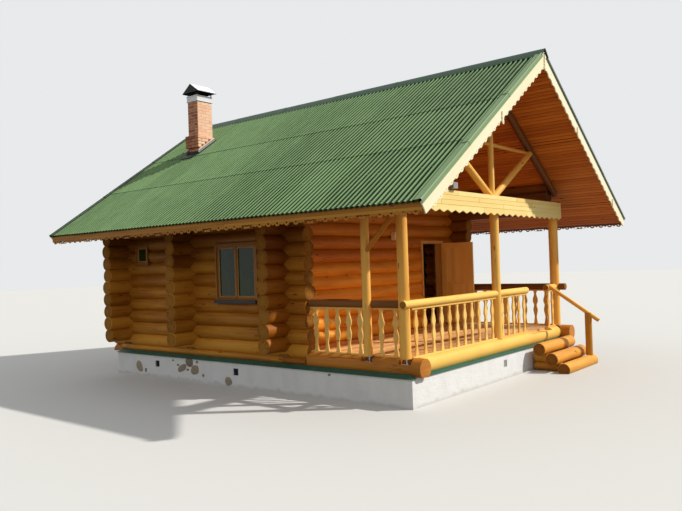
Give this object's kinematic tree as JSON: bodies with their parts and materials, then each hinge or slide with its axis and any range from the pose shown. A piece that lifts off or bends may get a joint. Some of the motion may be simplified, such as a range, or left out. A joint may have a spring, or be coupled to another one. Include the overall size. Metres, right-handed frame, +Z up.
{
  "type": "log bathhouse",
  "caption": "Round-log bathhouse on a masonry foundation with a roofed front porch, gable truss, balustrade, log steps, brick chimney and a hinged entrance door.",
  "frame": {"origin": "on the ground under the centre of the roof's plan", "axes": "+Z up, the porch front faces -Y, +X to the right seen from the front"},
  "size_m": [9.11, 10.2666, 7.12],
  "materials": {
    "log": "varnished round logs, honey brown",
    "porch_log": "varnished round logs, lighter yellow",
    "board": "planed boards",
    "pale_board": "pale trim boards",
    "joinery": "satin joinery",
    "roof_sheet": "matte green bitumen sheet",
    "green_metal": "painted sheet metal",
    "dark_metal": "dark painted metal",
    "steel": "zinc plated",
    "masonry": "white limewash on rubble masonry",
    "brick": "pale red brick with mortar joints",
    "glass": "clear double glazing",
    "lamp": "white lamp glass"
  },
  "bodies": {
    "house": {"foundation": "masonry", "foundation_flashing": "green_metal", "house_floor": "board", "porch_floor": "board", "side_rim_logs": "porch_log", "front_rim_log": "porch_log", "left_wall": "log", "right_wall": "log", "front_wall_left": "log", "front_wall_right": "log", "front_wall_door_logs": "log", "middle_wall_left": "log", "middle_wall_right": "log", "middle_wall_door_logs": "log", "back_wall": "log", "front_gable": "board", "back_gable": "board", "porch_plates": "porch_log", "tie_log": "porch_log", "tie_boards": "pale_board", "truss_rafters": "log", "king_post": "porch_log", "truss_struts": "porch_log", "truss_collar": "porch_log", "porch_posts": "porch_log", "knee_brace": "porch_log", "screw_jacks": "steel", "handrails": "porch_log", "front_balustrade": "porch_log", "side_balustrades": "porch_log", "log_steps": "porch_log", "stair_bearers": "log", "newel_post": "porch_log", "stair_handrail": "porch_log", "roof_slab_left": "board", "roof_slab_right": "board", "roof_sheet_left": "roof_sheet", "roof_sheet_right": "roof_sheet", "ridge_cap": "roof_sheet", "verge_trims": "roof_sheet", "bargeboards": "pale_board", "eave_boards": "board", "chimney": "brick", "chimney_apron": "steel", "chimney_cap": "dark_metal", "window_frames": "joinery", "window_glass": "glass", "window_sills": "dark_metal", "door_frame": "joinery", "hinge_pins": "steel", "wall_lamp": "lamp", "floodlight": "steel"},
    "door": {"door_leaf": "joinery", "leaf_hinges": "steel"}
  },
  "joints": [
    {"name": "door_hinge", "type": "hinge", "parent": "house", "child": "door", "pos_m": [2.462, -1.245, 1.85], "axis": [0, 0, 1], "range_deg": [-90, 30]}
  ]
}
